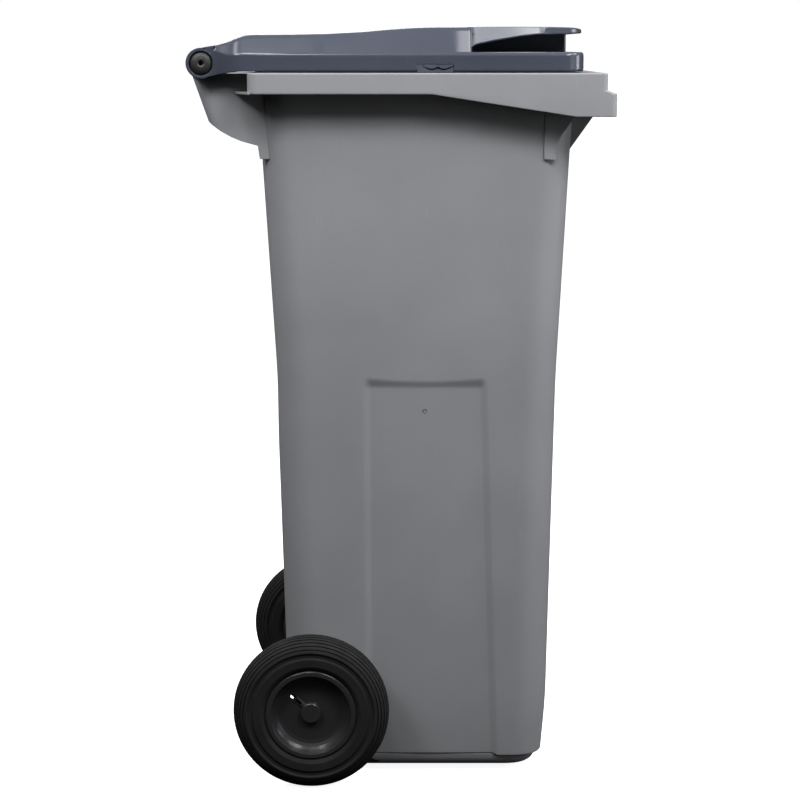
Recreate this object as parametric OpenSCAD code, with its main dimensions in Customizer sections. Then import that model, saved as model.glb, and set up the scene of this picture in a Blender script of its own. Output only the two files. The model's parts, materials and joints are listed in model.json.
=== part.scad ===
// Two-wheeled refuse bin with a hinged lid.
// Millimetres. X is the width, -Y the front with the lifting lip, +Y the rear with the hinge and
// the wheels, +Z up. The origin is on the floor, below the centre of the bounding box.

/* [Tub] */
// Height of the rim's top face above the floor
rim_z = 910; // [900:1:920]
// Half width of the tub at the rim
tub_half_top = 205; // [200:0.5:206]
// Half width of the tub at the height where its draft changes
tub_half_mid = 190; // [186:0.5:194]
// Half width of the tub just above its foot
tub_half_low = 172.5; // [170:0.5:174]
// Height where the draft of the walls changes
draft_z = 523; // [500:1:545]
// Wall thickness of the tub
tub_wall = 4; // [3.5:0.1:4.5]
// Depth of the recessed panel in each side wall
panel_depth = 4; // [2:0.5:5]
// Height of the foot that the bin rests on
foot_h = 28; // [24:1:32]

/* [Rim] */
// Half width over the rim
rim_half = 240; // [238:0.5:244]
// Wall thickness of the rim's skirt, lip and ribs
rim_wall = 4; // [3:0.5:5]
// Height of the skirt's lower edge along the sides
skirt_z = 884; // [878:1:890]
// Height of the skirt's lower edge at the front
skirt_front_z = 857; // [850:1:862]

/* [Lid] */
// Gap between the rim's top face and the lid's lower edge
lid_gap = 1.5; // [1.2:0.1:2]
// Half width of the lid's skirt
lid_half = 229; // [226:0.5:231]
// Height of the lid's highest face
lid_top_z = 966; // [964:0.5:970]
// Wall thickness of the lid
lid_wall = 3; // [2.5:0.1:3.5]
// Height of the grip tab's flat underside
grip_under_z = 957; // [956:0.5:959]

/* [Hinge] */
// Distance from the origin to the hinge axis, towards the rear
hinge_y = 245; // [244:0.5:245]
// Height of the hinge axis
hinge_z = 921.5; // [921:0.5:923]
// Outer radius of the lid's hinge lugs
lug_r = 19; // [18.5:0.5:19]
// Radius of the hinge pin's shank
pin_r = 8; // [7:0.5:9]
// Radius of the handle bar
bar_r = 14; // [13:0.5:15]

/* [Wheels] */
// Radius of the wheels
wheel_r = 100; // [96:1:100]
// Distance from the origin to the axle, towards the rear
axle_y = 114.5; // [110:0.5:118]
// Distance from the middle plane to each tyre's middle plane
wheel_x = 215; // [214.5:0.5:215.5]
// Width of a tyre
tyre_w = 48; // [44:1:48]
// Radius of the axle
axle_r = 10; // [9:0.5:10]
// Angle of the locking pin above the rearward direction
lock_deg = 41; // [20:1:70]

/* [Hidden] */

body_grey = [0.55, 0.56, 0.58];
lid_slate = [0.22, 0.24, 0.30];
black = [0.09, 0.09, 0.10];
steel = [0.66, 0.67, 0.69];

skin = 0.02;          // thickness of the sections that a loft runs between
corner_steps = 8;     // flats in each rounded corner of a plan outline
run_gap = 0.05;       // radial clearance of a running fit
$fn = 96;

// A section is [height, half width, front edge, rear edge, front radius, rear radius].
neck_z = 880;
bend_z = 441;         // where the rear wall turns upright
low_z = 90;
NECK = [neck_z, tub_half_top, -216, 178, 42, 42];
BREAK = [draft_z, tub_half_mid, -199, 157.5, 42, 42];
BEND = [bend_z, tub_half_low + (tub_half_mid - tub_half_low) * (bend_z - low_z) / (draft_z - low_z),
    -197.6, 157, 42, 42];
LOW = [low_z, tub_half_low, -191.5, 148, 40, 40];
SHIN = [foot_h, tub_half_low - 4, -186, 145, 38, 38];
FOOT_TOP = [foot_h, 165.5, -179, 92, 36, 44];
FOOT_MID = [11, 160, -173.5, 68, 34, 48];
FOOT_BOTTOM = [0, 127, -159, 42, 28, 50];
FLOOR = [5, 130, -150, 36, 24, 46];
HOLD = [foot_h + 2, 156, -174, 72, 32, 38];

bay_y = 78;           // front wall of the axle bay
bay_z = 142;          // ceiling of the axle bay
bay_slope = 16;       // cut-off corner between the two

draft = atan((tub_half_mid - tub_half_low) / (draft_z - low_z));
wall_x0 = tub_half_low - low_z * tan(draft);   // side wall carried down to the floor

rim_front = -252.5;
rim_rear = 187;
lip_front = -264;
lip_top_z = 889;      // where the lip's sloping ledge meets the rim, and its outer edge
lip_edge_z = 884.5;
comb_ribs = [-140, -70, 0, 70, 140];

horn_in = 148;        // inner and outer faces of the hinge horns
horn_out = 188.5;
horn_top = 909;
horn_rear = 260.2;
horn_lean = 0.352;    // how far the horn's rear face runs in for each unit down
support_half = 22;    // half width of the handle's middle support

lid_z = rim_z + lid_gap;
lid_front = -225;
lid_rear = 190;
shelf_z = 935;
dome_front = -88;
lug_in = 190;
lug_out = 206;
pin_head_r = 14;
pin_head_x = 200.3;

lock_x = wheel_x + 3;      // plane of the locking pin and the axle's groove
groove_w = 7;
groove_r = axle_r - 3;
axle_end = wheel_x + 10;
disc_x = wheel_x + 8;        // outer face of the wheel's disc
rim_r = 54.5;                // seat of the tyre on the wheel disc
channel_r = 4.3;
stem_r = 2.5;
tail_r = 2;
collar_r0 = 14;              // the pin's collar, measured from the axle's axis
collar_r1 = 16;
plug_r0 = 24;
plug_r1 = 27;
tail_end_r = 28.5;
spring_turns = 4;
spring_wire_r = 0.4;
spring_steps = 12;
spring_sides = 6;

function arc(cx, cy, r, a0, a1, n = corner_steps) =
    [for (i = [0:n]) let (a = a0 + (a1 - a0) * i / n) [cx + r * cos(a), cy + r * sin(a)]];

// Rounded outline, seen from above
function plan(half, front, rear, rf, rr) = concat(
    arc(half - rr, rear - rr, rr, 0, 90),
    arc(rr - half, rear - rr, rr, 90, 180),
    arc(rf - half, front + rf, rf, 180, 270),
    arc(half - rf, front + rf, rf, 270, 360));

function inset(s, w) = [s[0], s[1] - w, s[2] + w, s[3] - w, s[4] - w, s[5] - w];

// Outlines of the rim and of the lifting lip below its front, drawn in by w
function rim_outline(w) = plan(rim_half - w, rim_front + w, rim_rear - w, 10 - w, 12 - w);
function lip_outline(w) = plan(rim_half - w, lip_front + w, -200 - w, 13 - w, 5);

module slab(s) {
    translate([0, 0, s[0] - skin])
        linear_extrude(height = skin)
            polygon(plan(s[1], s[2], s[3], s[4], s[5]));
}

// Solid through sections whose slopes bulge outwards
module loft(sections) {
    hull()
        for (s = sections)
            slab(s);
}

module prism(outline, z0, z1) {
    translate([0, 0, z0])
        linear_extrude(height = z1 - z0)
            polygon(outline);
}

// Outline drawn in Y and Z, extruded from x0 to x1
module side_prism(outline, x0, x1) {
    translate([x0, 0, 0])
        rotate([90, 0, 90])
            linear_extrude(height = x1 - x0)
                polygon(outline);
}

// Cylinder along X, from x0 to x1
module rod(r, x0, x1) {
    translate([x0, 0, 0])
        rotate([0, 90, 0])
            cylinder(r = r, h = x1 - x0);
}

module at_hinge() {
    translate([0, hinge_y, hinge_z]) children();
}

module at_axle() {
    translate([0, axle_y, wheel_r]) children();
}

// Right-hand geometry, drawn again on the left when side is -1
module on_side(side) {
    mirror([side < 0 ? 1 : 0, 0, 0]) children();
}

// ---------------------------------------------------------------- tub

function bay_outline(g) = [
    [bay_y - g, -5],
    [bay_y - g, bay_z - bay_slope + g / 2],
    [bay_y + bay_slope - g / 2, bay_z + g],
    [220, bay_z + g],
    [220, -5]];

module axle_bay(g) {
    side_prism(bay_outline(g), -300, 300);
}

module side_panel(g) {
    translate([wall_x0 - panel_depth - g, 0, 0])
        rotate([0, draft, 0])
            rotate([90, 0, 90])
                linear_extrude(height = 40)
                    polygon([[-127 - g, -20], [-105 - g, 523 + g], [42 + g, 523 + g], [41 + g, -20]]);
}

module neck(s, z0, z1) {
    prism(plan(s[1], s[2], s[3], s[4], s[5]), z0, z1);
}

module upper_walls() {
    loft([BREAK, NECK]);
    neck(NECK, neck_z - skin, rim_z);
}

module tub_cavity() {
    difference() {
        union() {
            loft([FLOOR, HOLD, inset(LOW, tub_wall), inset(BEND, tub_wall), inset(BREAK, tub_wall)]);
            loft([inset(BREAK, tub_wall), inset(NECK, tub_wall)]);
            neck(inset(NECK, tub_wall), neck_z - skin, rim_z + 1);
        }
        axle_bay(tub_wall);
        for (side = [-1, 1])
            on_side(side) side_panel(tub_wall);
    }
}

module tub() {
    color(body_grey)
        difference() {
            union() {
                loft([FOOT_BOTTOM, FOOT_MID, FOOT_TOP]);
                loft([SHIN, LOW, BEND, BREAK]);
                upper_walls();
            }
            tub_cavity();
            axle_bay(0);
            for (side = [-1, 1])
                on_side(side) side_panel(0);
        }
}

// ---------------------------------------------------------------- rim

// Everything under the sloping lower edge of the skirt
module below_skirt() {
    side_prism([
        [260, neck_z - 100], [260, skirt_z], [-38, skirt_z], [-213, skirt_front_z],
        [-280, skirt_front_z], [-280, neck_z - 100]], -300, 300);
}

module skirt() {
    difference() {
        union() {
            prism(rim_outline(0), skirt_front_z - 1, rim_z);
            intersection() {
                prism(lip_outline(0), skirt_front_z - 1, lip_top_z);
                side_prism([
                    [-190, skirt_front_z - 5], [lip_front, skirt_front_z - 5],
                    [lip_front, lip_edge_z], [rim_front, lip_top_z], [-190, lip_top_z]],
                    -rim_half, rim_half);
            }
        }
        prism(rim_outline(rim_wall), skirt_front_z - 2, rim_z - rim_wall);
        prism(lip_outline(rim_wall), skirt_front_z - 2, lip_edge_z - rim_wall);
        below_skirt();
    }
}

// Upright rib under the front of the rim, centred on x
module comb_rib(x) {
    side_prism([
        [-200, rim_z - rim_wall], [rim_front + rim_wall, rim_z - rim_wall],
        [rim_front + rim_wall, 862], [-214.5, 814], [-200, 809]],
        x - rim_wall / 2, x + rim_wall / 2);
}

// End plate of the lifting lip, flush with the tub's side
module gusset() {
    side_prism([
        [-178, rim_z - rim_wall], [rim_front + rim_wall, rim_z - rim_wall],
        [rim_front + rim_wall, 873], [-215, 856], [-200, 834.5], [-194.5, 824],
        [-192.5, 814], [-192.3, 803], [-178, 804]],
        tub_half_top - 6, tub_half_top - 1);
}

module rear_flange() {
    prism([[horn_out, rim_rear - 4], [rim_half, rim_rear - 4], [rim_half, rim_rear - 1],
        [horn_out + 12, 203], [horn_out, 205]], skirt_z, skirt_z + 3);
}

module rim_collar() {
    color(body_grey)
        difference() {
            union() {
                skirt();
                for (side = [-1, 1])
                    on_side(side) rear_flange();
            }
            upper_walls();
        }
}

// Upright plates that stiffen the lifting lip and part the pockets for the comb
module lift_ribs() {
    color(body_grey)
        difference() {
            union() {
                for (x = comb_ribs)
                    comb_rib(x);
                for (side = [-1, 1])
                    on_side(side) gusset();
            }
            upper_walls();
        }
}

// ---------------------------------------------------------------- handle and hinge

function horn_section(z, w, top) =
    [z, horn_in + w, horn_out - w, 150, horn_rear - w - (top - z) * horn_lean, 16 - w];

module horn_slab(s) {
    translate([0, 0, s[0] - skin])
        linear_extrude(height = skin)
            polygon(concat(
                [[s[1], s[3]], [s[2], s[3]]],
                arc(s[2] - s[5], s[4] - s[5], s[5], 0, 90),
                arc(s[1] + s[5], s[4] - s[5], s[5], 90, 180)));
}

module horn_block(w, z1) {
    hull() {
        horn_slab(horn_section(795, w, horn_top));
        horn_slab(horn_section(z1, w, horn_top));
    }
}

// The horn's lower edge, seen from the side
module horn_profile() {
    side_prism([
        [150, horn_top], [264, horn_top], [264, 858], [245, 858], [241.5, 852], [235, 846],
        [223.5, 838], [210, 830.5], [197.5, 825.3], [177.4, 819.8], [175, 803.5], [150, 803.5]],
        horn_in - 5, horn_out + 5);
}

module horn() {
    difference() {
        union() {
            intersection() {
                horn_block(0, horn_top);
                horn_profile();
            }
            side_prism([[228, horn_top - 5], [256, horn_top - 5], [259, hinge_z], [230, hinge_z]],
                horn_in, horn_out);
            at_hinge() rod(16, horn_in, horn_out);
        }
        horn_block(rim_wall, horn_top - rim_wall);
        at_hinge() rod(pin_r + run_gap, horn_in + 2, horn_out + 1);
    }
}

module handle_support() {
    difference() {
        side_prism([
            [150, horn_top], [256, horn_top], [250, 884], [240, 868], [222, 856], [200, 848],
            [150, 842]],
            -support_half, support_half);
        side_prism([
            [140, horn_top - rim_wall], [251, horn_top - rim_wall], [246, 884], [236, 868],
            [222, 850], [200, 840], [140, 830]],
            rim_wall - support_half, support_half - rim_wall);
    }
    side_prism([[231, horn_top - 5], [256, horn_top - 5], [258, hinge_z], [231, hinge_z]],
        -support_half, support_half);
}

module rear_handle() {
    color(body_grey)
        difference() {
            union() {
                for (side = [-1, 1])
                    on_side(side) horn();
                handle_support();
                at_hinge() rod(bar_r, -horn_in, horn_in);
            }
            for (side = [-1, 1])
                on_side(side)
                    translate([support_half, hinge_y - 8, hinge_z - bar_r - 1])
                        cube([horn_in - support_half - 3, 16, bar_r + 5]);
            upper_walls();
            prism(rim_outline(0), skirt_z, rim_z + 1);
        }
}

// Pin of the hinge, with a domed head sunk into the lid's lug
module hinge_pin(side) {
    color(black)
        on_side(side)
            at_hinge()
                rotate([0, 90, 0])
                    rotate_extrude()
                        polygon([
                            [0, horn_in + 3], [pin_r - 1, horn_in + 3], [pin_r, horn_in + 4],
                            [pin_r, pin_head_x], [pin_head_r, pin_head_x],
                            [pin_head_r, pin_head_x + 3], [pin_head_r - 2, pin_head_x + 5.2],
                            [pin_head_r - 5, pin_head_x + 6.7], [5, pin_head_x + 7.4],
                            [3, pin_head_x + 6.6], [3, pin_head_x + 1], [0, pin_head_x + 1]]);
}

// ---------------------------------------------------------------- lid

module lid_dome(w) {
    hull() {
        translate([0, 0, shelf_z - 3 - skin])
            linear_extrude(height = skin)
                polygon(plan(lid_half - w, dome_front + w, lid_rear - w, 6, 10 - w));
        translate([-202 + w, dome_front + w, lid_top_z - w - skin])
            cube([404 - 2 * w, 10, skin]);
        translate([-203 + w, 0, lid_top_z - 2 - w - skin])
            cube([406 - 2 * w, 10, skin]);
        translate([-200 + w, 150 - w, 957 - w - skin])
            cube([400 - 2 * w, 34, skin]);
    }
}

// Low middle of the lid's rear, which clears the horns when the lid hangs open
module rear_hollow(g) {
    side_prism([[108, 980], [108, lid_top_z - 6 - g], [150, 942 - g], [192 + g, 924.5 - g], [192 + g, 980]],
        -(lug_in + g), lug_in + g);
}

function grip_plan(w) = [
    [w - 220, dome_front + 2], [w - 219, dome_front - 4], [w - 140, -206], [w - 132, -220],
    [w - 118, -228 + w], [0, -231 + w], [118 - w, -228 + w], [132 - w, -220], [140 - w, -206],
    [219 - w, dome_front - 4], [220 - w, dome_front + 2]];

module grip() {
    difference() {
        intersection() {
            prism(grip_plan(0), 900, 980);
            side_prism([
                [-50, lid_top_z], [-200, lid_top_z], [-222, lid_top_z - 1], [-231, lid_top_z - 5],
                [-231, grip_under_z + 1.5], [-206, grip_under_z], [-152, grip_under_z - 2],
                [-94, 943.5], [dome_front, 938], [-50, 936]], -230, 230);
            rotate([90, 0, 0])
                linear_extrude(height = 300)
                    polygon([[-227, 930], [-203, lid_top_z], [203, lid_top_z], [227, 930]]);
        }
        prism([[-210, dome_front], [-137, -206], [-100, -238], [100, -238], [137, -206],
            [210, dome_front]], 900, grip_under_z);
    }
    for (side = [-1, 1])
        on_side(side)
            translate([61, -213.5, shelf_z - 1])
                cube([4, 214.5 + dome_front, grip_under_z + 2 - shelf_z]);
}

module lid_arm() {
    difference() {
        intersection() {
            side_prism([
                [150, 957], [188, 956.5], [196, 954], [206, 949.8], [218, 946], [229, 943],
                [238, 941], [hinge_y, hinge_z + lug_r], [hinge_y, hinge_z - lug_r],
                [236, 905], [219, 909], [200, lid_z], [150, lid_z]], lug_in, lid_half);
            prism([[lug_in, 150], [lid_half, 150], [lid_half, 196], [lid_half - 2, 206], [222, 215],
                [212, 223], [lug_out, 229], [lug_out, 250], [lug_in, 250]], 890, 960);
        }
        prism([[lug_in + 3, 140], [lid_half - 4, 140], [lid_half - 4, 196], [222, 207],
            [lug_in + 3, 212]], 890, 946);
    }
}

module lug() {
    at_hinge() rod(lug_r, lug_in, lug_out);
}

module lid() {
    color(lid_slate)
        difference() {
            union() {
                difference() {
                    union() {
                        prism(plan(lid_half, lid_front, lid_rear, 26, 10), lid_z, shelf_z);
                        lid_dome(0);
                    }
                    rear_hollow(0);
                    difference() {
                        union() {
                            prism(plan(lid_half - lid_wall, lid_front + lid_wall,
                                lid_rear - lid_wall, 23, 7), lid_z - 1, shelf_z - lid_wall);
                            lid_dome(lid_wall);
                        }
                        rear_hollow(lid_wall);
                    }
                }
                grip();
                for (side = [-1, 1])
                    on_side(side) {
                        lid_arm();
                        lug();
                    }
            }
            for (side = [-1, 1])
                on_side(side) {
                    at_hinge() {
                        rod(pin_r + run_gap, lug_in - 1, lug_out + 1);
                        rod(pin_head_r + 1, pin_head_x - 0.5, lug_out + 1);
                    }
                    translate([lid_half - lid_wall - 1, -65, lid_z - 1])
                        cube([lid_wall + 2, 45, 10.5]);
                }
        }
}

// Soft stop that keeps the lid's edge off the rim, clipped through a notch in the skirt
module lid_buffer(side) {
    color(lid_slate)
        on_side(side)
            difference() {
                union() {
                    translate([lid_half - lid_wall - 3.2, -68, lid_z + 0.5])
                        cube([3, 51, 12]);
                    translate([lid_half - lid_wall - 1, -64.7, rim_z + 0.4])
                        cube([lid_wall + 0.8, 44.4, 10]);
                }
                for (y = [-54.5, -30.5])
                    translate([0, y, 921.5])
                        difference() {
                            rod(10.6, lid_half - 1.5, lid_half + 1);
                            rod(8.8, lid_half - 2, lid_half + 2);
                        }
            }
}

// ---------------------------------------------------------------- axle and wheels

module axle_bearings() {
    color(body_grey)
        for (x = [-158, -66, 66, 158])
            difference() {
                union() {
                    side_prism([
                        [bay_y, bay_z - bay_slope], [bay_y, 96], [axle_y - 14, 86],
                        [axle_y + 18, wheel_r], [axle_y + 18, bay_z], [bay_y + bay_slope, bay_z]],
                        x - 5, x + 5);
                    at_axle() rod(18, x - 5, x + 5);
                }
                at_axle() rod(axle_r + run_gap, x - 6, x + 6);
            }
}

module axle() {
    color(steel)
        at_axle()
            rotate([0, 90, 0])
                rotate_extrude()
                    polygon([
                        [0, -axle_end], [axle_r - 1, -axle_end], [axle_r, 1 - axle_end],
                        [axle_r, -lock_x - groove_w / 2], [groove_r, -lock_x - groove_w / 2],
                        [groove_r, -lock_x + groove_w / 2], [axle_r, -lock_x + groove_w / 2],
                        [axle_r, lock_x - groove_w / 2], [groove_r, lock_x - groove_w / 2],
                        [groove_r, lock_x + groove_w / 2], [axle_r, lock_x + groove_w / 2],
                        [axle_r, axle_end - 1], [axle_r - 1, axle_end], [0, axle_end]]);
}

groove_step = 11.5;          // angle between grooves, about the centre of the tyre's crown

// Solid tyre: round crown with grooves, sunk ring in each sidewall, bead on the wheel disc
module tyre(side) {
    half = tyre_w / 2;
    shoulder = 18;
    crown = (half * half + shoulder * shoulder) / (2 * shoulder);
    tilt = asin(half / crown);
    color(black)
        on_side(side)
            translate([wheel_x, 0, 0])
                at_axle()
                    rotate([0, 90, 0])
                        difference() {
                            rotate_extrude()
                                polygon(concat(
                                    arc(wheel_r - crown, 0, crown, -tilt, tilt, 24),
                                    [[rim_r + 25, half - 1.7], [rim_r + 21.5, half - 1.7],
                                        [rim_r + 19, half], [rim_r + 9.5, half],
                                        [rim_r + 5.5, half - 2.2], [rim_r + 4, 19.5],
                                        [rim_r + run_gap, 19.5], [rim_r + run_gap, -19.5],
                                        [rim_r + 4, -19.5], [rim_r + 5.5, 2.2 - half],
                                        [rim_r + 9.5, -half], [rim_r + 19, -half],
                                        [rim_r + 21.5, 1.7 - half], [rim_r + 25, 1.7 - half]]));
                            for (k = [-6:5])
                                rotate_extrude()
                                    translate([wheel_r - crown, 0])
                                        rotate((k + 0.5) * groove_step)
                                            translate([crown - 1.4, -0.75])
                                                square([3, 1.5]);
                        }
}

// Frame of the locking pin: local +Z runs outwards from the axle's axis along the pin
module at_lock() {
    translate([lock_x, axle_y, wheel_r])
        rotate([lock_deg - 90, 0, 0]) children();
}

module wheel_disc(side) {
    color(black)
        on_side(side)
            difference() {
                union() {
                    at_axle() {
                        rotate([0, 90, 0])
                            rotate_extrude()
                                polygon([
                                    [0, disc_x + 6], [12, disc_x + 6], [13, disc_x + 5],
                                    [13, disc_x], [37, disc_x], [41.5, disc_x + 0.8],
                                    [45.5, disc_x + 3], [48.5, disc_x + 6.5],
                                    [50, disc_x + 11], [51.5, wheel_x + 22],
                                    [rim_r + 2, wheel_x + 22], [rim_r + 3.5, wheel_x + 20.5],
                                    [rim_r + 3.5, wheel_x + 20], [rim_r, wheel_x + 19.5],
                                    [rim_r, wheel_x - 19.5], [rim_r + 3, wheel_x - 20],
                                    [rim_r + 3, wheel_x - 22], [rim_r - 4, wheel_x - 22],
                                    [rim_r - 4, wheel_x + 4], [46, disc_x - 4],
                                    [16, disc_x - 4], [16, wheel_x - 22.5], [0, wheel_x - 22.5]]);
                        for (k = [0:5])
                            rotate([60 * k + lock_deg + 30, 0, 0])
                                translate([wheel_x - 16, -1.5, 15])
                                    cube([20.5, 3, rim_r - 17.5]);
                    }
                    at_lock() cylinder(r = 6.5, h = plug_r1);
                }
                at_axle() rod(axle_r + run_gap, wheel_x - 30, axle_end + 0.2);
                at_lock() {
                    cylinder(r = stem_r + run_gap, h = collar_r0 + 1);
                    translate([0, 0, collar_r0 - 0.4]) cylinder(r = channel_r, h = 14);
                    translate([0, 0, collar_r1]) cylinder(r = tail_r + 0.3, h = 31 - collar_r1);
                    translate([-3.2, 0, 31])
                        rotate([0, 90, 0])
                            rotate([0, 0, 45])
                                cylinder(r = 3.3, h = 14);
                    translate([0, -2.2, 17]) cube([10, 4.4, 14]);
                }
            }
}

module lock_pin(side) {
    color(steel)
        on_side(side)
            at_lock()
                rotate_extrude()
                    polygon([
                        [0, groove_r + 0.3], [stem_r - 0.6, groove_r + 0.3],
                        [stem_r, groove_r + 1], [stem_r, collar_r0], [4, collar_r0],
                        [4, collar_r1], [tail_r, collar_r1], [tail_r, tail_end_r - 0.5],
                        [tail_r - 0.5, tail_end_r], [0, tail_end_r]]);
}

module lock_plug(side) {
    color(black)
        on_side(side)
            at_lock()
                translate([0, 0, plug_r0])
                    difference() {
                        cylinder(r = channel_r - run_gap, h = plug_r1 - plug_r0);
                        translate([0, 0, -1])
                            cylinder(r = tail_r + run_gap, h = plug_r1 - plug_r0 + 2);
                    }
}

// Coil spring between the pin's collar and the plug
spring_coil_r = 3.1;
spring_z0 = collar_r1 + spring_wire_r + 0.05;
spring_z1 = plug_r0 - spring_wire_r - 0.05;
spring_rings = spring_turns * spring_steps;
spring_points = [
    for (i = [0:spring_rings], k = [0:spring_sides - 1])
        let (turn = 360 * i / spring_steps,
            roll = 360 * k / spring_sides,
            reach = spring_coil_r + spring_wire_r * cos(roll))
        [reach * cos(turn), reach * sin(turn),
            spring_z0 + (spring_z1 - spring_z0) * i / spring_rings + spring_wire_r * sin(roll)]];
spring_sides_faces = [
    for (i = [0:spring_rings - 1], k = [0:spring_sides - 1])
        let (a = i * spring_sides + k,
            b = i * spring_sides + (k + 1) % spring_sides)
        [a, b, b + spring_sides, a + spring_sides]];
spring_caps = [
    [for (k = [spring_sides - 1:-1:0]) k],
    [for (k = [0:spring_sides - 1]) spring_rings * spring_sides + k]];

module lock_spring(side) {
    color(steel)
        on_side(side)
            at_lock()
                polyhedron(points = spring_points, faces = concat(spring_sides_faces, spring_caps));
}

tub();
rim_collar();
lift_ribs();
rear_handle();
axle_bearings();
axle();
hinge_pin(-1);  // hinge_pin_left
hinge_pin(1);  // hinge_pin_right
lid();
lid_buffer(-1);  // lid_buffer_left
lid_buffer(1);  // lid_buffer_right
tyre(-1);  // tyre_left
wheel_disc(-1);  // wheel_disc_left
lock_plug(-1);  // lock_plug_left
lock_spring(-1);  // lock_spring_left
lock_pin(-1);  // lock_pin_left
tyre(1);  // tyre_right
wheel_disc(1);  // wheel_disc_right
lock_plug(1);  // lock_plug_right
lock_spring(1);  // lock_spring_right
lock_pin(1);  // lock_pin_right
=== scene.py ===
"""Looks of the wheelie bin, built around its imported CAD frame. Metres, X across, -Y front, +Z up."""

import json
import math

import bmesh
import bpy
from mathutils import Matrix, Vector


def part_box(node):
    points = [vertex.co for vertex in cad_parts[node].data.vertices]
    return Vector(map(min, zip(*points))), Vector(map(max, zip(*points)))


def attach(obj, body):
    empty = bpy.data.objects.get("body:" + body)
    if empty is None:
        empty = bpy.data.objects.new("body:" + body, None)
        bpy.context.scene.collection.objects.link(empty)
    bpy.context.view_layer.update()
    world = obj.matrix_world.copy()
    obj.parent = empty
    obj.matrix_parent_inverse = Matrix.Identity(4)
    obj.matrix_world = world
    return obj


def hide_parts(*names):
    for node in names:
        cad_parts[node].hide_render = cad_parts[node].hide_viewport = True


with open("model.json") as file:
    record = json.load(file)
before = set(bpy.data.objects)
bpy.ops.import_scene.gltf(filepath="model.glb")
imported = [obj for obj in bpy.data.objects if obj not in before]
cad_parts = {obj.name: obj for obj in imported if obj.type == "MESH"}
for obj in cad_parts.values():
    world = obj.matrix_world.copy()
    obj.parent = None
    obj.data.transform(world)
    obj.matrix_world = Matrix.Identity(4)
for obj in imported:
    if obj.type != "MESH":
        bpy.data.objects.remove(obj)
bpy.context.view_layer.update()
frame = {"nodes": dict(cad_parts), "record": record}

MM = 0.001
SIDES = {"left": -1, "right": 1}


# ---------------------------------------------------------------- materials


class Finish:
    """A node material with colour variation, roughness variation and bump over rounded edges."""

    def __init__(self, name, rough, metallic=0.0, specular=0.5, coat=0.0):
        self.material = bpy.data.materials.new(name)
        self.material.use_nodes = True
        self.tree = self.material.node_tree
        self.tree.nodes.clear()
        self.shader = self.node("ShaderNodeBsdfPrincipled")
        output = self.node("ShaderNodeOutputMaterial")
        self.link(self.shader.outputs["BSDF"], output.inputs["Surface"])
        self.shader.inputs["Metallic"].default_value = metallic
        self.shader.inputs["Specular IOR Level"].default_value = specular
        self.shader.inputs["Coat Weight"].default_value = coat
        self.shader.inputs["Roughness"].default_value = rough
        self.place = self.node("ShaderNodeTexCoord").outputs["Object"]

    def node(self, kind, **settings):
        made = self.tree.nodes.new(kind)
        for key, value in settings.items():
            setattr(made, key, value)
        return made

    def link(self, source, target):
        self.tree.links.new(source, target)

    def stretched(self, scale):
        mapping = self.node("ShaderNodeMapping")
        mapping.inputs["Scale"].default_value = scale
        self.link(self.place, mapping.inputs["Vector"])
        return mapping.outputs["Vector"]

    def noise(self, scale, detail=3.0, stretch=(1, 1, 1)):
        texture = self.node("ShaderNodeTexNoise")
        texture.inputs["Scale"].default_value = scale
        texture.inputs["Detail"].default_value = detail
        self.link(self.stretched(stretch), texture.inputs["Vector"])
        return texture.outputs["Fac"]

    def ranged(self, value, low, high, to_low, to_high):
        reach = self.node("ShaderNodeMapRange")
        settings = {"From Min": low, "From Max": high, "To Min": to_low, "To Max": to_high}
        for key, number in settings.items():
            reach.inputs[key].default_value = number
        self.link(value, reach.inputs["Value"])
        return reach.outputs["Result"]

    def multiplied(self, a, b):
        product = self.node("ShaderNodeMath", operation="MULTIPLY")
        self.link(a, product.inputs[0])
        self.link(b, product.inputs[1])
        return product.outputs[0]

    def mixed(self, share, first, second):
        """Colour between first and second, which are colours or sockets."""
        mix = self.node("ShaderNodeMix", data_type="RGBA")
        self.link(share, mix.inputs["Factor"])
        for socket, value in ((mix.inputs["A"], first), (mix.inputs["B"], second)):
            if isinstance(value, tuple):
                socket.default_value = (*value, 1)
            else:
                self.link(value, socket)
        return mix.outputs["Result"]

    def bump(self, heights, rounding):
        """Chains (height socket, depth in metres) pairs over a rounded-edge normal."""
        edge = self.node("ShaderNodeBevel", samples=4)
        edge.inputs["Radius"].default_value = rounding
        normal = edge.outputs["Normal"]
        for height, depth in heights:
            bump = self.node("ShaderNodeBump")
            bump.inputs["Distance"].default_value = depth
            self.link(height, bump.inputs["Height"])
            self.link(normal, bump.inputs["Normal"])
            normal = bump.outputs["Normal"]
        self.link(normal, self.shader.inputs["Normal"])


def moulded_plastic(name, colour, rough, grain, rounding, wear, dust):
    """Coloured plastic: cloudy pigment, fine moulded grain, scuffs and a little dust."""
    f = Finish(name, rough)
    cloud = f.ranged(f.noise(9, 5), 0.3, 0.7, 0, 1)
    dark = tuple(c * 0.95 for c in colour)
    light = tuple(c * 1.05 for c in colour)
    pigment = f.mixed(cloud, dark, light)
    scuff = f.multiplied(
        f.ranged(f.noise(420, 2, (1, 1, 0.06)), 0.62, 0.72, 0, 1),
        f.ranged(f.noise(16, 3), 0.5, 0.7, 0, wear),
    )
    pigment = f.mixed(scuff, pigment, tuple(min(1, c * 1.9 + 0.03) for c in colour))
    film = f.ranged(f.noise(5, 6), 0.45, 0.8, 0, dust)
    pigment = f.mixed(film, pigment, (0.42, 0.41, 0.39))
    f.link(pigment, f.shader.inputs["Base Color"])
    f.link(f.ranged(f.noise(30, 6), 0.3, 0.7, rough * 0.88, rough * 1.14), f.shader.inputs["Roughness"])
    f.bump([(f.noise(14, 2), 0.0002), (f.noise(1400, 2), grain)], rounding)
    return f.material


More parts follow.
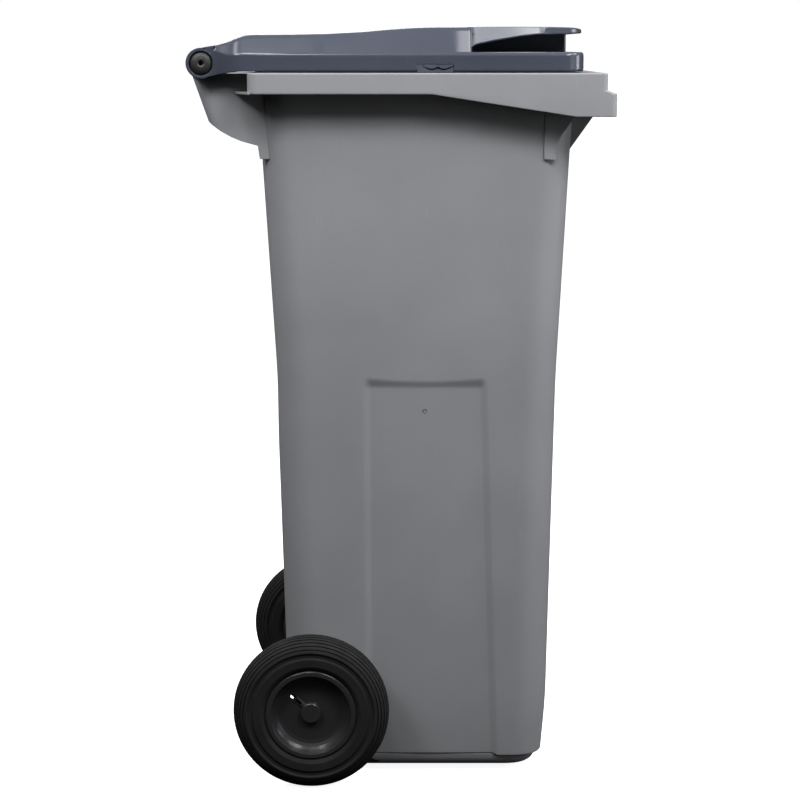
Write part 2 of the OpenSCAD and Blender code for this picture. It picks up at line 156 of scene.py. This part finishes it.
def rubber(name, colour, rough, grain):
    f = Finish(name, rough, specular=0.25)
    cloud = f.ranged(f.noise(26, 6), 0.3, 0.75, 0, 1)
    worn = tuple(c * 1.5 + 0.001 for c in colour)
    f.link(f.mixed(cloud, colour, worn), f.shader.inputs["Base Color"])
    f.link(f.ranged(f.noise(60, 4), 0.3, 0.7, rough * 0.9, min(1, rough * 1.1)), f.shader.inputs["Roughness"])
    f.bump([(f.noise(260, 4), grain), (f.noise(1500, 2), grain * 0.5)], 0.5 * MM)
    return f.material


def zinc(name, colour, rough):
    f = Finish(name, rough, metallic=1.0)
    spangle = f.ranged(f.noise(180, 5), 0.35, 0.65, 0, 1)
    f.link(f.mixed(spangle, tuple(c * 0.8 for c in colour), colour), f.shader.inputs["Base Color"])
    f.link(f.ranged(f.noise(90, 4), 0.3, 0.7, rough * 0.8, rough * 1.3), f.shader.inputs["Roughness"])
    f.bump([(f.noise(500, 3, (0.1, 1, 1)), 0.00004)], 0.4 * MM)
    return f.material


def colour_of(slot):
    found = [m for m in frame["record"]["materials"] if m["slot"] == slot]
    return tuple(found[0]["base_color"])


MATERIALS = {
    "body_plastic": moulded_plastic(
        "body_plastic", colour_of("body_plastic"), 0.44, 0.00002, 1.2 * MM, 0.10, 0.04
    ),
    "lid_plastic": moulded_plastic(
        "lid_plastic", colour_of("lid_plastic"), 0.2, 0.00001, 1.2 * MM, 0.12, 0.02
    ),
    "pin_plastic": moulded_plastic(
        "pin_plastic", colour_of("pin_plastic"), 0.5, 0.00025, 0.6 * MM, 0.3, 0.03
    ),
    "disc_plastic": moulded_plastic(
        "disc_plastic", colour_of("disc_plastic"), 0.24, 0.00001, 0.8 * MM, 0.12, 0.02
    ),
    "buffer_rubber": rubber("buffer_rubber", colour_of("buffer_rubber"), 0.4, 0.00002),
    "tyre_rubber": rubber("tyre_rubber", colour_of("tyre_rubber"), 0.75, 0.00012),
    "steel": zinc("steel", colour_of("steel"), 0.34),
    "dark_steel": zinc("dark_steel", colour_of("dark_steel"), 0.7),
}
SLOTS = {s["node"]: s["material_slot"] for s in frame["record"]["subparts"]}


def paint(piece, slot):
    piece.data.materials.clear()
    piece.data.materials.append(MATERIALS[slot])


# ---------------------------------------------------------------- shapes, in millimetres


def between(low, high, steps):
    """Evenly spaced numbers strictly between low and high."""
    return [low + (high - low) * i / steps for i in range(1, steps)]


def smooth(t):
    t = max(0.0, min(1.0, t))
    return t * t * (3 - 2 * t)


def along(points, x):
    """Height of the line through the points at x."""
    if x <= points[0][0]:
        return points[0][1]
    for (x0, y0), (x1, y1) in zip(points, points[1:]):
        if x <= x1:
            return y0 + (y1 - y0) * (x - x0) / (x1 - x0)
    return points[-1][1]


def arc(cx, cy, r, start, end, steps=9):
    angles = [math.radians(start + (end - start) * i / steps) for i in range(steps + 1)]
    return [(cx + r * math.cos(a), cy + r * math.sin(a)) for a in angles]


def outline(half, front, rear, front_radius, rear_radius, side, across=10):
    """Closed rounded rectangle with a point at each Y in side along both of its sides."""
    x0, x1 = half - rear_radius, half - front_radius
    right = [(x, rear) for x in [0] + between(0, x0, across)]
    right += arc(x0, rear - rear_radius, rear_radius, 90, 0)
    right += [(half, y) for y in side]
    right += arc(x1, front + front_radius, front_radius, 0, -90)
    right += [(x, front) for x in between(x1, 0, across) + [0]]
    return right + [(-x, y) for x, y in reversed(right[1:-1])]


def solid(name, rings, closed=False):
    """Object through rings of points: capped at both ends, or closed on itself."""
    count = len(rings[0])
    points = [tuple(c * MM for c in p) for ring in rings for p in ring]
    faces = []
    for i in range(len(rings) if closed else len(rings) - 1):
        a, b = i * count, (i + 1) % len(rings) * count
        for k in range(count):
            n = (k + 1) % count
            faces.append((a + k, a + n, b + n, b + k))
    if not closed:
        faces.append(tuple(range(count - 1, -1, -1)))
        faces.append(tuple(range(len(points) - count, len(points))))
    data = bpy.data.meshes.new(name)
    data.from_pydata(points, [], faces)
    made = bpy.data.objects.new(name, data)
    bpy.context.scene.collection.objects.link(made)
    shape = bmesh.new()
    shape.from_mesh(data)
    bmesh.ops.recalc_face_normals(shape, faces=shape.faces)
    shape.to_mesh(data)
    shape.free()
    return made


def extrude_x(name, profile, x0, x1):
    """Prism of a profile in Y and Z, from x0 to x1."""
    return solid(name, [[(x, y, z) for y, z in profile] for x in (x0, x1)])


def bar(name, side, radius, x0, x1, centre, steps=96):
    """Round bar along X."""
    ring = arc(centre[0], centre[1], radius, 0, 360, steps)[:-1]
    return solid(name, [[(side * x, y, z) for y, z in ring] for x in (x0, x1)])


def combine(target, other, operation):
    """Cuts other from target or joins it on, and removes other."""
    step = target.modifiers.new("combine", "BOOLEAN")
    step.operation = operation
    step.object = other
    step.solver = "EXACT"
    graph = bpy.context.evaluated_depsgraph_get()
    result = bpy.data.meshes.new_from_object(target.evaluated_get(graph))
    target.modifiers.clear()
    target.data = result
    bpy.data.objects.remove(other)
    return target


def cut(target, other):
    return combine(target, other, "DIFFERENCE")


def join(target, other):
    return combine(target, other, "UNION")


def dress(piece, node, body, crease=32):
    """Shades a finished piece and lets it stand for a CAD node."""
    piece.data.shade_smooth()
    piece.data.set_sharp_from_angle(angle=math.radians(crease))
    flat = piece.modifiers.new("flat_faces", "WEIGHTED_NORMAL")
    flat.keep_sharp = True
    paint(piece, SLOTS[node])
    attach(piece, body)
    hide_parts(node)


def soften(node):
    """Shows a CAD node itself, with smooth curved faces."""
    piece = frame["nodes"][node]
    paint(piece, SLOTS[node])
    piece.data.shade_smooth()
    piece.data.set_sharp_from_angle(angle=math.radians(28))


# ---------------------------------------------------------------- tub

RIM_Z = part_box("rim_collar")[1].z / MM
RIM_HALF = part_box("rim_collar")[1].x / MM
LIP_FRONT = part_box("rim_collar")[0].y / MM
TUB_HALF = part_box("tub")[1].x / MM
TUB_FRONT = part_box("tub")[0].y / MM
TUB_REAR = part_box("tub")[1].y / MM
WALL = 4
SEAM_Z = RIM_Z - 13
PANEL_TOP = 526
PANEL_FRONT = [(0, -129.5), (PANEL_TOP, -111)]
PANEL_REAR = [(0, 47), (PANEL_TOP, 48)]
RAMP = 12

# Outside of the walls: height, half width, front, rear, front radius, rear radius
WALLS = [
    (28, 168.5, -186, 145, 38, 38),
    (90, 172.5, -191.5, 148, 40, 40),
    (441, 186.7, -197.6, 157, 42, 42),
    (523, 190, -199, 157.5, 42, 42),
    (880, TUB_HALF, TUB_FRONT, TUB_REAR, 42, 42),
    (RIM_Z, TUB_HALF, TUB_FRONT, TUB_REAR, 42, 42),
]
FOOT = [
    (0, 124, -157, 42, 26, 50),
    (2.5, 134, -163, 49, 28, 50),
    (6, 147, -168.5, 58, 31, 49),
    (9, 155.5, -172, 65, 33, 48),
    (12, 160, -174.5, 70, 34, 48),
    (16, 162.6, -176.8, 78, 35, 46),
    (20, 164, -178.2, 84, 36, 45),
    (25, 165, -179.2, 91, 36, 44),
]
GATE = (-31, 484)
BAY_FRONT, BAY_TOP = 78, 142
LOWER_EDGE = 2.5
HOLD = [(5, 124, -150, 36, 24, 46), (30, 156, -174, 72, 32, 38)]


def section_at(sections, z):
    """Section at a height, with the bends between the given ones rounded off."""

    def value(k, height):
        return along([(s[0], s[k]) for s in sections], height)

    reach = min(22, max(0, z - sections[0][0]), max(0, sections[-1][0] - z))
    heights = [z + reach * i / 3 for i in range(-3, 4)]
    return [sum(value(k, h) for h in heights) / len(heights) for k in range(1, 6)]


def panel_depth(y, z):
    """How far the side wall is sunk at a place: deepest along the panel's upright edges."""
    front, rear = along(PANEL_FRONT, z), along(PANEL_REAR, z)
    across = (2 * y - front - rear) / (rear - front)
    bow = 5 * (1 - min(1, abs(across)) ** 2)
    edge = smooth((y - front) / RAMP) * smooth((rear - y) / RAMP)
    edge *= smooth((PANEL_TOP + 4 - bow - z) / (16 - bow))
    return edge * (2.0 + 1.6 * min(1, abs(across)) ** 2)


def side_places(section, z):
    """Y of the points along a side wall, close together on the panel's edges."""
    front, rear = along(PANEL_FRONT, z), along(PANEL_REAR, z)
    top, bottom = section[2] - section[4], section[1] + section[3]
    ramp = [i * RAMP / 10 for i in range(11)]
    places = between(top, rear, 7) + [rear - r for r in ramp]
    places += between(rear - RAMP, front + RAMP, 16)
    return places + [front + r for r in reversed(ramp)] + between(front, bottom, 7)


def wall_ring(z, inset, section=None):
    s = section or section_at(WALLS, z)
    side = side_places(s, z)
    shape = outline(s[0] - inset, s[1] + inset, s[2] - inset, s[3] - inset, s[4] - inset, side)
    ring = []
    for x, y in shape:
        sunk = panel_depth(y, z) if abs(x) > s[0] - inset - 0.01 else 0
        ring.append((x - math.copysign(sunk, x), y, z))
    return ring


def wall_heights(low, high):
    top = [PANEL_TOP - 15 + 1.3 * i for i in range(17)]
    return [low] + between(low, top[0], 34) + top + between(top[-1], high, 24) + [high]


def hang(ring):
    """Lowers the bottom edge of the walls a little in front of the panel."""
    return [(x, y, z - 2.5 * smooth((-119 - y) / 10) * (1 - smooth((z - 25) / 40))) for x, y, z in ring]


def foot_ring(s):
    return [(x, y, s[0]) for x, y in outline(*s[1:], side_places(s[1:], 0))]


def axle_bay(name, gap):
    """Block that the wheels and axle need clear, with its front and top moved out by gap."""
    front, top, rear, low, reach = BAY_FRONT - gap, BAY_TOP + gap, 220, -5, 300
    slope = [(front, 126 + gap / 2), (94 - gap / 2, top)]
    return extrude_x(name, [(front, low), *slope, (rear, top), (rear, low)], -reach, reach)


def build_tub():
    lowest = WALLS[0][0]
    low_section = section_at(WALLS, lowest)
    rings = [foot_ring(s) for s in FOOT]
    for i in range(4):
        turn = math.pi / 2 * i / 4
        height, inset = LOWER_EDGE * math.cos(turn), LOWER_EDGE * (1 - math.sin(turn))
        rings.append(hang(wall_ring(lowest - height, inset, low_section)))
    rings += [hang(wall_ring(z, 0)) for z in [lowest, 34, 40, 46, 54, 62] + wall_heights(72, SEAM_Z)]
    tub = solid("tub_walls", rings)
    hold = [foot_ring(s) for s in HOLD] + [wall_ring(z, WALL) for z in wall_heights(90, RIM_Z + 10)]
    hold = cut(solid("hold", hold), axle_bay("bay_walls", WALL))
    cut(tub, axle_bay("bay", 0))
    cut(tub, hold)
    face = section_at(WALLS, GATE[1])[0] - panel_depth(*GATE)
    for side in SIDES.values():
        cut(tub, bar("gate_pit", side, 3.2, face - 0.9, face + 4, GATE, 24))
        join(tub, bar("gate_stub", side, 1.3, face - 2, face + 0.5, GATE, 16))
    dress(tub, "tub", "bin")


# ---------------------------------------------------------------- rim

MOUTH = (TUB_HALF - WALL, TUB_FRONT + WALL, TUB_REAR - WALL, 38, 38)
NECK = (TUB_HALF, TUB_FRONT, TUB_REAR, 42, 42)
RIM_FRONT = -252.5
RIM_REAR = 187
LEDGE_Z = 889
LEDGE_EDGE_Z = 884.5
SKIRT_LINE = [(-213, 857), (-209, 857.8), (-42, 883.4), (-38, 884)]


def rim_side():
    """Y of the points along the rim's sides, close together where the skirt's edge bends."""
    return [150, 110, 70, 30, 0, -20, -30, -36, -38, -40, -46, -60, -90, -120, -150, -180, -198,
            -206, -210, -213, -216, -222, -232]


def rim_ring(shape, height):
    """Ring of the rim's section. Height is a number, or a function of Y."""
    return [(x, y, height(y) if callable(height) else height)
            for x, y in outline(*shape, rim_side())]


def rim_shape(inset, lip=False):
    front, radius = (LIP_FRONT, 7) if lip else (RIM_FRONT, 6)
    return (RIM_HALF - inset, front + inset, RIM_REAR - inset, max(1, radius - inset), 12 - inset)


def skirt_height(nominal, above):
    """Height on the skirt that stays above its sloping lower edge."""
    return lambda y: max(nominal, along(SKIRT_LINE, y) + above)


def build_rim():
    def rounded(k):
        return 2 * (1 - math.cos(k * math.pi / 8)), 2 * (1 - math.sin(k * math.pi / 8))

    def grown(shape, d):
        return (shape[0] + d, shape[1] - d, shape[2] + d, shape[3] + d, shape[4] + d)

    rings = [rim_ring(MOUTH, SEAM_Z)]
    rings += [rim_ring(grown(MOUTH, rounded(k)[0]), RIM_Z - rounded(k)[1]) for k in range(5)]
    rings += [rim_ring(rim_shape(12), RIM_Z)]
    rings += [rim_ring(rim_shape(rounded(k)[1]), RIM_Z - rounded(k)[0]) for k in range(5)]
    rings += [rim_ring(rim_shape(0), skirt_height(LEDGE_Z + 1, 4.5))]
    rings += [rim_ring(rim_shape(0), skirt_height(LEDGE_Z, 4))]
    edge = (RIM_HALF, LIP_FRONT + 0.6, RIM_REAR, 6.6, 12)
    rings += [rim_ring(edge, skirt_height(LEDGE_EDGE_Z + 0.4, 3.4))]
    rings += [rim_ring(rim_shape(0, True), skirt_height(LEDGE_EDGE_Z - 1, 3))]
    for inset, above in ((0, 1.5), (0.4, 0.4), (1.4, 0), (2.6, 0), (3.6, 0.4), (WALL, 1.5)):
        rings += [rim_ring(rim_shape(inset, True), skirt_height(0, above))]
    rings += [rim_ring(rim_shape(WALL, True), skirt_height(LEDGE_EDGE_Z - WALL, 3.5))]
    rings += [rim_ring(rim_shape(WALL), skirt_height(LEDGE_Z - WALL, 4.5))]
    rings += [rim_ring(rim_shape(WALL), RIM_Z - WALL), rim_ring(NECK, RIM_Z - WALL), rim_ring(NECK, SEAM_Z)]
    rim = solid("rim", rings, closed=True)
    for side in SIDES.values():
        plate = [(188.5, RIM_REAR - 4), (RIM_HALF, RIM_REAR - 4), (RIM_HALF, RIM_REAR - 1),
            (214, 197.5), (200, 203), (188.5, 205)]
        join(rim, solid("plate", [[(side * x, y, z) for x, y in plate] for z in (884, 887)]))
    dress(rim, "rim_collar", "bin")


# ---------------------------------------------------------------- lid

LID_Z = RIM_Z + 1.5
LID_HALF, LID_FRONT, LID_REAR = 229, -225, 190
SHELF_Z = 935
DOME_FRONT = -88
LID_WALL = 3
LUG_IN, LUG_OUT, LUG_R = 190, 206, 19
HINGE = (245, 921.5)
SLANT = 0.67
DOME_LINE = [(-88, 966), (-40, 965.9), (-10, 964.9), (20, 962.7), (45, 960.4), (90, 958),
    (130, 957.2), (190, 956.6)]
SHOULDER_LINE = [(-88, 926), (-20, 927.5), (60, 930), (110, 932), (190, 933)]


def end_curve(distance, radius):
    """Share of a corner's radius that is missing at a distance from the end of a shape."""
    if distance >= radius:
        return 0
    return 1 - math.sqrt(max(0, 1 - (1 - distance / radius) ** 2))


def mirrored_ring(y, right):
    """Closed section across X from the points of its right half, which ends on the middle."""
    ring = right + [(-x, z) for x, z in reversed(right) if x]
    return [(x, y, z) for x, z in ring]


def base_section(y, inset, bottom):
    """Section of the lid's flat base: skirt, rounded edge and shelf."""
    half = LID_HALF - inset - (26 - inset) * end_curve(y - LID_FRONT - inset, 26 - inset)
    half -= (10 - inset) * end_curve(LID_REAR - inset - y, 10 - inset)
    top = SHELF_Z - inset - 4 * end_curve(y - LID_FRONT - inset, 4)
    right = [(half - 2.4, bottom), (half - 0.2, bottom + 2.2), (half, bottom + 2.6), (half, bottom + 7)]
    right += arc(half - 5, top - 5, 5, 0, 90, 6)
    return mirrored_ring(y, right + [(half * k / 6, top) for k in (5, 4, 3, 2, 1, 0)])


def dome_section(y, inset, bottom):
    """Section of the raised middle, whose sides slope in from a rounded shoulder."""
    pull = 4 * end_curve(y - DOME_FRONT - inset, 4) + 0.6 * max(0, -58 - y) ** 2 / 68
    pull += (10 - inset) * end_curve(LID_REAR - inset - y, 10 - inset)
    half, top, low = LID_HALF - inset - pull, along(DOME_LINE, y) - inset, along(SHOULDER_LINE, y)
    crest = half - (top - low) * SLANT
    right = [(half - 3, bottom), (half, low - 6), (half, low - 2.5), (half - 0.25, low - 1.2)]
    right += [(half - 0.7, low), (half - 1.3, low + 1.1), (half - 2.2, low + 2.4)]
    right += [(crest + 0.67 * d, top - d) for d in (6, 3.5)]
    right += [(crest - 0.2, top - 1.7), (crest - 2.4, top - 0.6), (crest - 6, top - 0.1), (crest - 12, top)]
    return mirrored_ring(y, right + [(crest * k / 6, top) for k in (5, 4, 3, 2, 1, 0)])


def lid_block(name, inset, bottom):
    """Base and dome joined; drawn in by inset it is the space under the lid."""
    start, end, step = LID_FRONT + inset, LID_REAR - inset, DOME_FRONT + inset
    front = [start + t for t in (0, 0.25, 0.8, 1.6, 2.6, 4, 6, 9, 13, 18, 24)]
    back = [end - t for t in (12, 9, 6, 4, 2.5, 1.2, 0.4, 0)]
    base = [base_section(y, inset, bottom) for y in front + between(start + 24, end - 12, 10) + back]
    rise = [step + t for t in (0, 0.2, 0.6, 1.2, 2, 3, 4, 7)]
    dome = [dome_section(y, inset, LID_Z + 8) for y in rise + between(step + 7, end - 12, 30) + back]
    return join(solid(name, base), solid(name + "_dome", dome))


def rear_hollow(name, drop):
    """Block above the low middle of the lid's rear, which clears the horns."""
    reach = LUG_IN + drop
    rear = 192 + drop
    profile = [(108, 980), (108, 960 - drop), (150, 942 - drop), (rear, 924.5 - drop), (rear, 980)]
    return extrude_x(name, profile, -reach, reach)


GRIP_PLAN = [(-231, 60), (-230.4, 100), (-229, 116), (-226, 124), (-220, 131.5), (-213, 136.5),
    (-206, 140), (-92, 207.6), (-88, 210), (-80, 214)]
GRIP_UNDER = [(-231, 959.4), (-228, 958), (-206, 957), (-170, 956), (-150, 953.8), (-120, 949),
    (-94, 943.8), (-90, 942), (-80, 936)]
GRIP_TOP = [(-231, 960.6), (-229, 962.8), (-225, 964.4), (-218, 965.3), (-200, 965.9), (-80, 965.9)]


def grip_section(y):
    """Section of the grip tab: its sides slope like the dome's, then stand upright at its tip."""
    low, high = along(GRIP_UNDER, y), along(GRIP_TOP, y)
    r = min(1.8, (high - low) / 2.6)
    slope = SLANT * smooth((y + 186) / 14) * (high - low - 2 * r)
    half = along(GRIP_PLAN, y) - 1
    top = half - slope
    right = [(half - r, low), (half - 0.3 * r, low + 0.3 * r), (half, low + r), (top, high - r),
        (top - 0.4 * r, high - 0.3 * r), (top - 1.4 * r, high), (top - 4 * r, high), (top / 2, high)]
    return mirrored_ring(y, right + [(0, high)])


def build_grip():
    places = [-231, -230.4, -229, -226, -220, -213, -206, -190, -186, -183, -180, -177, -174, -172,
        -168, -160, -150, -140, -130, -118, -105, -98, -94, -92, -90, -86, -82]
    grip = solid("grip", [grip_section(y) for y in places])
    hollow = [(-200, DOME_FRONT), (-134, -204), (-98, -240), (98, -240), (134, -204), (200, DOME_FRONT)]
    cut(grip, solid("grip_hollow", [[(x, y, z) for x, y in hollow] for z in (900, 957)]))
    return grip


def web(side):
    """Upright plate under the grip, with a round bead along its front edge."""
    plan = arc(63, -210.5, 3, 150, 390, 14) + [(65, DOME_FRONT + 1), (61, DOME_FRONT + 1)]
    return solid("web", [[(side * x, y, z) for x, y in plan] for z in (SHELF_Z - 1, 958)])


POCKET = [(243, 939), (240, 942), (229, 944), (226.5, 940.5), (229.5, 936.5), (233, 933), (237, 936)]
ARM_SHOULDER = [(165, 932.9), (190, 933), (211, 932.5), (222, 935.5), (232, 938.5), (245, 939)]
ARM_OUT = [(165, 228.9), (178, 228.96), (183, 229), (192, 229), (197, 228.6), (203, 226.8), (209, 223.4),
    (215, 218.5), (221, 213), (226, 209), (231, 206.8), (236, 206), (250, 206)]
ARM_TOP = [(165, 956.7), (178, 956.7), (183, 956.6), (188, 956.4), (194, 954.8), (202, 951.6), (210, 948.4),
    (220, 945.2), (230, 942.8), (245, 940.4)]
ARM_LOW = [(165, LID_Z + 1), (183, LID_Z), (198, LID_Z), (203, 910.8), (219, 908.6), (236, 904.6),
    (245, 902.6)]


def arm_section(side, y):
    out, top, low = along(ARM_OUT, y), along(ARM_TOP, y), along(ARM_LOW, y)
    shoulder = along(ARM_SHOULDER, y)
    k = min(1, (top - shoulder) / 16)
    crest = out - (top - shoulder) * SLANT
    right = [(LUG_IN, low), (out - 1.5, low), (out - 0.4, low + 0.4), (out, low + 1.5)]
    right += [(out - d * k, shoulder + h * k) for d, h in ((0, -2.5), (0.25, -1.2), (0.7, 0), (1.3, 1.1),
        (2.2, 2.4))]
    right += [(crest + 0.67 * d * k, top - d * k) for d in (6, 3.5)]
    right += [(crest - 0.2 * k, top - 1.7 * k), (crest - 2.4 * k, top - 0.6 * k), (crest - 6 * k, top)]
    right.append((LUG_IN, top))
    return [(side * x, y, z) for x, z in right]


def build_arm(side):
    places = [165, 178, 183, 186, 190, 194, 198, 202, 206, 210, 214, 218, 222, 226, 230, 234, 238, 245]
    arm = solid("arm", [arm_section(side, y) for y in places])
    hollow = [(193, 160), (225, 160), (225, 192), (217, 203), (193, 208)]
    cut(arm, solid("arm_hollow", [[(side * x, y, z) for x, y in hollow] for z in (890, 926)]))
    return arm


def lug(side):
    """Hinge lug with rounded rims."""
    rings = []
    for x, inset in ((0, 1.2), (0.35, 0.35), (1.2, 0), (14.8, 0), (15.65, 0.35), (16, 1.2)):
        ring = arc(HINGE[0], HINGE[1], LUG_R - inset, 0, 360, 96)[:-1]
        rings.append([(side * (LUG_IN + x), y, z) for y, z in ring])
    return solid("lug", rings)


def build_lid():
    lid = cut(lid_block("lid_shell", 0, LID_Z), rear_hollow("hollow", 0))
    hold = cut(lid_block("lid_hold", LID_WALL, LID_Z - 5), rear_hollow("hollow_roof", LID_WALL))
    cut(lid, hold)
    join(lid, build_grip())
    for side in SIDES.values():
        join(lid, web(side))
        join(lid, build_arm(side))
        join(lid, lug(side))
    for side in SIDES.values():
        cut(lid, bar("bore", side, 8.05, LUG_IN - 1, LUG_OUT + 1, HINGE))
        cut(lid, bar("recess", side, 15, 199.8, LUG_OUT + 1, HINGE))
        cut(lid, extrude_x("pocket", POCKET, side * 201, side * (LUG_OUT + 6)))
        notch = [(-64.9, LID_Z - 1), (-20.1, LID_Z - 1), (-20.1, 920.6), (-64.9, 920.6)]
        cut(lid, extrude_x("notch", notch, side * (LID_HALF - 4), side * (LID_HALF + 1)))
    dress(lid, "lid", "lid", 30)


# ---------------------------------------------------------------- lid buffers

MARK_MIDDLE = -45.6
MARK_LINE = [(0, 915.9), (1.2, 915.7), (2.4, 914.9), (4, 914.1), (7.6, 913.8), (11, 914.4), (14.5, 915.7),
    (17.4, 917.3), (19.4, 918.7)]


def build_buffer(side):
    """Block clipped in the skirt's notch, with a shallow moustache-shaped groove in its face."""
    node = "lid_buffer_" + side
    sign = SIDES[side]
    rings = []
    for x, inset in ((225.2, 0), (228.1, 0), (228.55, 0.25), (228.7, 0.7)):
        ring = [(-64.7 + inset, 910.6 + inset), (-20.3 - inset, 910.6 + inset),
            (-20.3 - inset, 920.4 - inset), (-64.7 + inset, 920.4 - inset)]
        rings.append([(sign * x, y, z) for y, z in ring])
    block = solid(node + "_face", rings)
    line = [(MARK_MIDDLE - d, z) for d, z in reversed(MARK_LINE[1:])]
    line += [(MARK_MIDDLE + d, z) for d, z in MARK_LINE]
    share = [math.sin(math.pi * (i + 0.6) / (len(line) + 0.2)) ** 0.5 for i in range(len(line))]
    groove = [(y, z + 1.5 * k) for (y, z), k in zip(line, share)]
    groove += [(y, z - 1.1 * k) for (y, z), k in reversed(list(zip(line, share)))]
    cut(block, solid("groove", [[(sign * x, y, z) for y, z in groove] for x in (226, 230)]))
    plate = [(-68, 912), (-17, 912), (-17, 924), (-68, 924)]
    join(block, solid("plate", [[(sign * x, y, z) for y, z in plate] for x in (222.8, 225.6)]))
    dress(block, node, "lid")


build_tub()
build_rim()
build_lid()
for side_name in SIDES:
    build_buffer(side_name)
for cad_node in frame["nodes"]:
    if cad_node not in ("tub", "rim_collar", "lid", "lid_buffer_left", "lid_buffer_right"):
        soften(cad_node)


# ---------------------------------------------------------------- studio


def build_floor():
    reach = 400
    data = bpy.data.meshes.new("floor")
    corners = [(-reach, -reach, 0), (reach, -reach, 0), (reach, reach, 0), (-reach, reach, 0)]
    data.from_pydata(corners, [], [(0, 1, 2, 3)])
    floor = bpy.data.objects.new("floor", data)
    bpy.context.scene.collection.objects.link(floor)
    f = Finish("pale_floor", 0.9, specular=0.1)
    f.link(f.mixed(f.noise(2, 3), (0.80, 0.80, 0.80), (0.84, 0.84, 0.84)), f.shader.inputs["Base Color"])
    f.shader.inputs["Emission Color"].default_value = (1, 1, 1, 1)
    f.shader.inputs["Emission Strength"].default_value = 0.9
    data.materials.append(f.material)
    floor.visible_diffuse = False
    floor.visible_glossy = False


def softbox(name, place, aim, side, power):
    """Square soft light at a place, turned towards a point."""
    data = bpy.data.lights.new(name, "AREA")
    data.energy = power
    data.size = side
    lamp = bpy.data.objects.new(name, data)
    bpy.context.scene.collection.objects.link(lamp)
    lamp.visible_camera = False
    lamp.location = place
    lamp.rotation_mode = "QUATERNION"
    lamp.rotation_quaternion = (Vector(aim) - Vector(place)).to_track_quat("-Z", "Y")


def build_world():
    """Dim sky that brightens upwards, and plain white where the camera sees it."""
    world = bpy.data.worlds.new("studio")
    world.use_nodes = True
    tree = world.node_tree
    tree.nodes.clear()
    output = tree.nodes.new("ShaderNodeOutputWorld")
    mix = tree.nodes.new("ShaderNodeMixShader")
    path = tree.nodes.new("ShaderNodeLightPath")
    sky = tree.nodes.new("ShaderNodeBackground")
    white = tree.nodes.new("ShaderNodeBackground")
    white.inputs["Color"].default_value = (1, 1, 1, 1)
    direction = tree.nodes.new("ShaderNodeTexCoord")
    split = tree.nodes.new("ShaderNodeSeparateXYZ")
    rise = tree.nodes.new("ShaderNodeMapRange")
    for key, number in {"From Min": 0.1, "From Max": 0.6, "To Min": 0.012, "To Max": 0.42}.items():
        rise.inputs[key].default_value = number
    tree.links.new(direction.outputs["Generated"], split.inputs[0])
    tree.links.new(split.outputs["Z"], rise.inputs["Value"])
    tree.links.new(rise.outputs["Result"], sky.inputs["Strength"])
    tree.links.new(sky.outputs[0], mix.inputs[1])
    tree.links.new(white.outputs[0], mix.inputs[2])
    tree.links.new(path.outputs["Is Camera Ray"], mix.inputs[0])
    tree.links.new(mix.outputs[0], output.inputs["Surface"])
    bpy.context.scene.world = world


def build_camera():
    """Looks along +X at the bin's left side, a little downwards."""
    distance, height, pitch = 2.877, 0.940, 9.3
    data = bpy.data.cameras.new("camera")
    data.sensor_width = 36
    data.lens = 96.75
    data.clip_end = 100
    camera = bpy.data.objects.new("camera", data)
    bpy.context.scene.collection.objects.link(camera)
    camera.location = (-distance, 0.0005, height)
    camera.rotation_euler = (math.radians(90 - pitch), 0, math.radians(-90))
    bpy.context.scene.camera = camera


build_floor()
build_world()
softbox("key_front", (-1.35, -1.00, 2.10), (0, 0, 0.7), 0.65, 27)
softbox("key_rear", (-1.30, 1.15, 2.10), (0, 0, 0.7), 0.65, 21)
softbox("top_front", (-0.70, -0.95, 2.35), (-0.1, -0.1, 0.9), 0.6, 7)
softbox("top_rear", (-0.70, 1.10, 2.35), (-0.1, 0.1, 0.9), 0.4, 3)
softbox("shoulder_glint", (-1.12, 0.34, 2.10), (-0.2, 0.15, 0.93), 0.34, 8)
softbox("grip_glint", (-0.35, -1.75, 2.45), (-0.1, -0.15, 0.9), 0.6, 16)
softbox("fill_front", (-1.60, -2.00, 0.60), (0, 0, 0.2), 1.0, 4)
softbox("front_strip", (-0.30, -2.40, 1.00), (0, -0.2, 0.6), 0.7, 12)
softbox("fill_right", (1.70, 0.30, 2.00), (0, 0, 0.5), 1.2, 22)
softbox("fill_back", (0.30, 1.90, 1.80), (0, 0, 0.5), 1.0, 10)
build_camera()
bpy.context.scene.view_settings.view_transform = "Standard"
